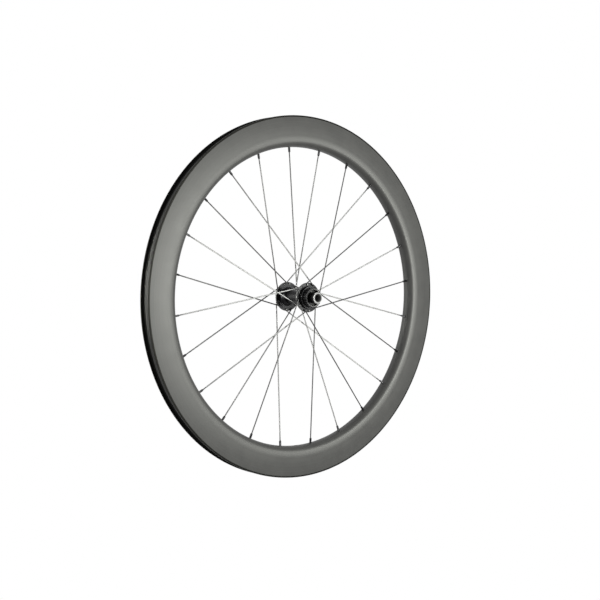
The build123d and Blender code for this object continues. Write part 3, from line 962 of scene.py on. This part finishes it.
class WHEEL_OT_hub_shell(bpy.types.Operator):
    """Build the flanged hub shell with its splined rotor seat and spoke holes"""

    bl_idname = "front_wheel.hub_shell"
    bl_label = "Hub shell"

    def execute(self, context):
        hub, spokes = context.scene.wheel_hub, context.scene.wheel_spokes
        mouth = SEAL.outer + hub.mouth_step
        groove_share = hub.groove_width * hub.splines / (2 * pi * hub.seat_radius)
        groove_floor = hub.seat_radius - hub.groove_depth
        groove_start = hub.shoulder_face - hub.edge_rounding / 2
        groove_limit = hub.shoulder_radius - hub.groove_depth

        def splined(radius, offset, turn):
            place = (turn * hub.splines / (2 * pi) + 0.5) % 1 - 0.5
            on_seat = offset > groove_start and radius < groove_limit
            in_groove = on_seat and abs(place) < groove_share / 2
            return min(radius, groove_floor) if in_groove else radius

        outline = hub_outline(hub, spokes, mouth)
        piece = turned("turned_hub_shell", outline, (), HUB_SEGMENTS, splined)
        holes = []
        for line in spoke_lines(context.scene):
            half = line.through * (2 * spokes.flange_thickness)
            holes.append((line.head_seat - half, line.head_seat + half, spokes.hole_radius))
        drill(piece, holes)
        finish = anodised_black(context.scene.wheel_colours, hub, mouth)
        dress(piece, finish, "hub_black", "wheel", "hub_shell")
        return {"FINISHED"}


def axle_outline(edge):
    """The axle tube's section, with a shoulder between the bearings."""
    return rounded([
        (AXLE.inner, AXLE.right, edge),
        (LEFT_RING.inner, AXLE.right, edge),
        (LEFT_RING.inner, RIGHT_RING.left, 0),
        (AXLE.outer, RIGHT_RING.left, edge),
        (AXLE.outer, LEFT_RING.right, edge),
        (LEFT_RING.inner, LEFT_RING.right, 0),
        (LEFT_RING.inner, AXLE.left, edge),
        (AXLE.inner, AXLE.left, edge),
    ])


def cap_outline(hub, seat, end, outward):
    """An end cap's section, from its seat on the bearing to its end; outward is 1 or -1."""
    edge = hub.edge_rounding
    axle_end = seat + outward * hub.cap_overlap
    return rounded([
        (LEFT_RING.inner, seat, 0),
        (CAP.outer, seat, edge),
        (CAP.outer, end - outward * hub.cap_chamfer, edge),
        (CAP.outer - hub.cap_chamfer, end, edge),
        (CAP.inner + hub.cap_mouth, end, edge / 2),
        (CAP.inner, end - outward * hub.cap_mouth, edge),
        (CAP.inner, axle_end, 0),
        (LEFT_RING.inner, axle_end, 0),
    ])


def seal_outline(edge, seat, face, outward):
    """A seal's section, with a lip round its inside; outward is 1 or -1."""
    lip = (SEAL.inner + SEAL.outer) / 2
    return rounded([
        (SEAL.outer, seat, 0),
        (SEAL.outer, face, edge),
        (lip + edge, face, edge),
        (lip, face - 2 * outward * edge, edge),
        (SEAL.inner, face - outward * edge, edge),
        (SEAL.inner, seat, 0),
    ])


class WHEEL_OT_axle_parts(bpy.types.Operator):
    """Build the axle tube, the end caps and the seals"""

    bl_idname = "front_wheel.axle_parts"
    bl_label = "Axle, caps and seals"

    def execute(self, context):
        hub, colours = context.scene.wheel_hub, context.scene.wheel_colours
        axle = turned("axle_tube", axle_outline(hub.edge_rounding))
        alloy = turned_alloy(colours, AXLE.inner, AXLE.left - hub.axle_bare)
        dress(axle, alloy, "axle_alloy", "axle", "axle")
        ring_edge = CAP.outer - hub.cap_chamfer
        black = cap_black(colours, CAP.left - hub.cap_chamfer, ring_edge - hub.cap_ring_width)
        rubber = seal_rubber(colours)
        for side, outward in (("left", 1), ("right", -1)):
            seat, end = turned_size(f"{side}_end_cap").ends(outward)
            cap = turned(f"{side}_cap", cap_outline(hub, seat, end, outward))
            dress(cap, black, "cap_black", "axle", f"{side}_end_cap")
            seat, face = turned_size(f"{side}_seal").ends(outward)
            outline = seal_outline(hub.edge_rounding, seat, face, outward)
            seal = turned(f"{side}_lip_seal", outline)
            dress(seal, rubber, "seal_rubber", "wheel", f"{side}_seal")
        return {"FINISHED"}


class WHEEL_OT_bearings(bpy.types.Operator):
    """Finish the bearing rings and ball cages, which keep their CAD shapes"""

    bl_idname = "front_wheel.bearings"
    bl_label = "Bearings"

    def execute(self, context):
        steel = bearing_steel(context.scene.wheel_colours)
        nylon = cage_nylon(context.scene.wheel_colours)
        for side in ("left", "right"):
            dress_node(f"{side}_bearing_outer_ring", steel)
            dress_node(f"{side}_bearing_inner_ring", steel)
            dress_node(f"{side}_ball_cage", nylon)
        return {"FINISHED"}


class Softbox(NamedTuple):
    """Bearing of a soft light from the hub, and its beam, in degrees; its size in metres."""

    azimuth: float
    elevation: float
    distance: float
    width: float
    height: float
    spread: float = 180.0


SOFTBOXES = {
    "key": Softbox(203, 1.5, distance=1.53, width=0.66, height=0.54),
    "front": Softbox(160, 40, distance=2.2, width=1.6, height=1.2),
    "overhead": Softbox(250, 62, distance=1.8, width=1.2, height=1.0),
    "bounce": Softbox(260, 5, distance=2.0, width=0.8, height=1.8),
    "back": Softbox(40, 6, distance=1.25, width=0.4, height=0.8),
    "strip": Softbox(90, 5, distance=1.2, width=0.1, height=0.15, spread=12),
}


def sky_direction(azimuth, elevation):
    """The direction at an azimuth from -Y towards +X and an elevation, both in radians."""
    return Vector((
        sin(azimuth) * cos(elevation), -cos(azimuth) * cos(elevation), sin(elevation)))


def hang_softbox(scene, name, box, watts, tint):
    """A soft rectangular light aimed at the hub."""
    light = bpy.data.lights.new(name, "AREA")
    light.shape = "RECTANGLE"
    light.size, light.size_y, light.spread = box.width, box.height, radians(box.spread)
    light.energy, light.color = watts, tint
    lamp = bpy.data.objects.new(name, light)
    outward = sky_direction(radians(box.azimuth), radians(box.elevation))
    lamp.location = outward * box.distance
    lamp.rotation_euler = outward.to_track_quat("Z", "Y").to_euler()
    lamp.visible_camera = False
    scene.collection.objects.link(lamp)


def light_studio(scene):
    """Even light from all round, and the softboxes."""
    studio, colours = scene.wheel_studio, scene.wheel_colours
    world = bpy.data.worlds.new("even_light")
    world.use_nodes = True
    background = world.node_tree.nodes["Background"]
    background.inputs["Color"].default_value = (1, 1, 1, 1)
    background.inputs["Strength"].default_value = studio.fill
    scene.world = world
    for name, box in SOFTBOXES.items():
        hang_softbox(scene, name, box, getattr(studio, name), colours.light)
    scene.view_settings.view_transform = "Standard"


def hang_backdrop(scene):
    """A dome and a floor that the camera sees, and that throw nothing on the wheel."""
    reach = scene.wheel_studio.dome_radius
    paper = Finish(
        "studio_paper", Base_Color=(0, 0, 0, 1), Roughness=1.0, Specular_IOR_Level=0,
        Emission_Color=(*scene.wheel_colours.backdrop, 1), Emission_Strength=1.0)
    arc = [pi * (step / DOME_STEPS - 0.5) for step in range(DOME_STEPS + 1)]
    dome = turned("backdrop", [Vector((reach * cos(turn), reach * sin(turn))) for turn in arc])
    ring = [2 * pi * step / FLOOR_POINTS for step in range(FLOOR_POINTS)]
    floor_level = CAD_BOX[0][2]
    floor_points = [Vector((reach * cos(turn), reach * sin(turn), floor_level)) for turn in ring]
    floor = solid("floor", floor_points, [tuple(range(FLOOR_POINTS))])
    for piece in (dome, floor):
        piece.data.materials.append(paper.material)
        piece.visible_diffuse = piece.visible_glossy = piece.visible_transmission = False
        piece.visible_shadow = False


def place_camera(scene):
    """The camera, at the photograph's viewing angle."""
    studio = scene.wheel_studio
    outward = sky_direction(studio.azimuth, studio.elevation)
    level = Vector((cos(studio.azimuth), sin(studio.azimuth), 0))
    upright = outward.cross(level)
    right = level * cos(studio.roll) + upright * sin(studio.roll)
    up = upright * cos(studio.roll) - level * sin(studio.roll)
    lens = bpy.data.cameras.new("camera")
    lens.lens, lens.sensor_width = studio.lens, SENSOR_WIDTH
    camera = bpy.data.objects.new("camera", lens)
    place = outward * studio.distance + right * studio.aside + up * studio.raised
    turn = Matrix((right, up, outward)).transposed().to_4x4()
    camera.matrix_world = Matrix.Translation(place) @ turn
    scene.collection.objects.link(camera)
    scene.camera = camera


class WHEEL_OT_studio(bpy.types.Operator):
    """Build the pale floor and backdrop, the soft light and the camera"""

    bl_idname = "front_wheel.studio"
    bl_label = "Studio"

    def execute(self, context):
        hang_backdrop(context.scene)
        light_studio(context.scene)
        place_camera(context.scene)
        return {"FINISHED"}


GROUPS = {
    "wheel_rim": RimSizes,
    "wheel_spokes": SpokeSizes,
    "wheel_hub": HubSizes,
    "wheel_colours": WheelColours,
    "wheel_studio": StudioSizes,
}
OPERATORS = (
    WHEEL_OT_rim,
    WHEEL_OT_spokes,
    WHEEL_OT_nipples,
    WHEEL_OT_hub_shell,
    WHEEL_OT_axle_parts,
    WHEEL_OT_bearings,
    WHEEL_OT_studio,
)


class WHEEL_PT_pieces(bpy.types.Panel):
    """The wheel's sizes and colours, and a button for each of its pieces"""

    bl_idname = "WHEEL_PT_pieces"
    bl_label = "Front wheel"
    bl_space_type = "VIEW_3D"
    bl_region_type = "UI"
    bl_category = "Wheel"

    def draw(self, context):
        """List the buttons, and then the settings of each group."""
        for operator in OPERATORS:
            self.layout.operator(operator.bl_idname)
        for name, group in GROUPS.items():
            box = self.layout.box()
            box.label(text=group.__doc__.rstrip("."))
            for setting in group.__annotations__:
                box.prop(getattr(context.scene, name), setting)


def register():
    """Register the classes, and give each scene its groups of settings."""
    for kind in (*GROUPS.values(), *OPERATORS, WHEEL_PT_pieces):
        bpy.utils.register_class(kind)
    for name, group in GROUPS.items():
        setattr(bpy.types.Scene, name, PointerProperty(type=group))


def unregister():
    """Take out what register put in."""
    for name in GROUPS:
        delattr(bpy.types.Scene, name)
    for kind in (WHEEL_PT_pieces, *OPERATORS, *GROUPS.values()):
        bpy.utils.unregister_class(kind)


def main():
    """Build every piece and the studio."""
    register()
    for operator in OPERATORS:
        category, name = operator.bl_idname.split(".")
        getattr(getattr(bpy.ops, category), name)()


if __name__ == "__main__":
    main()
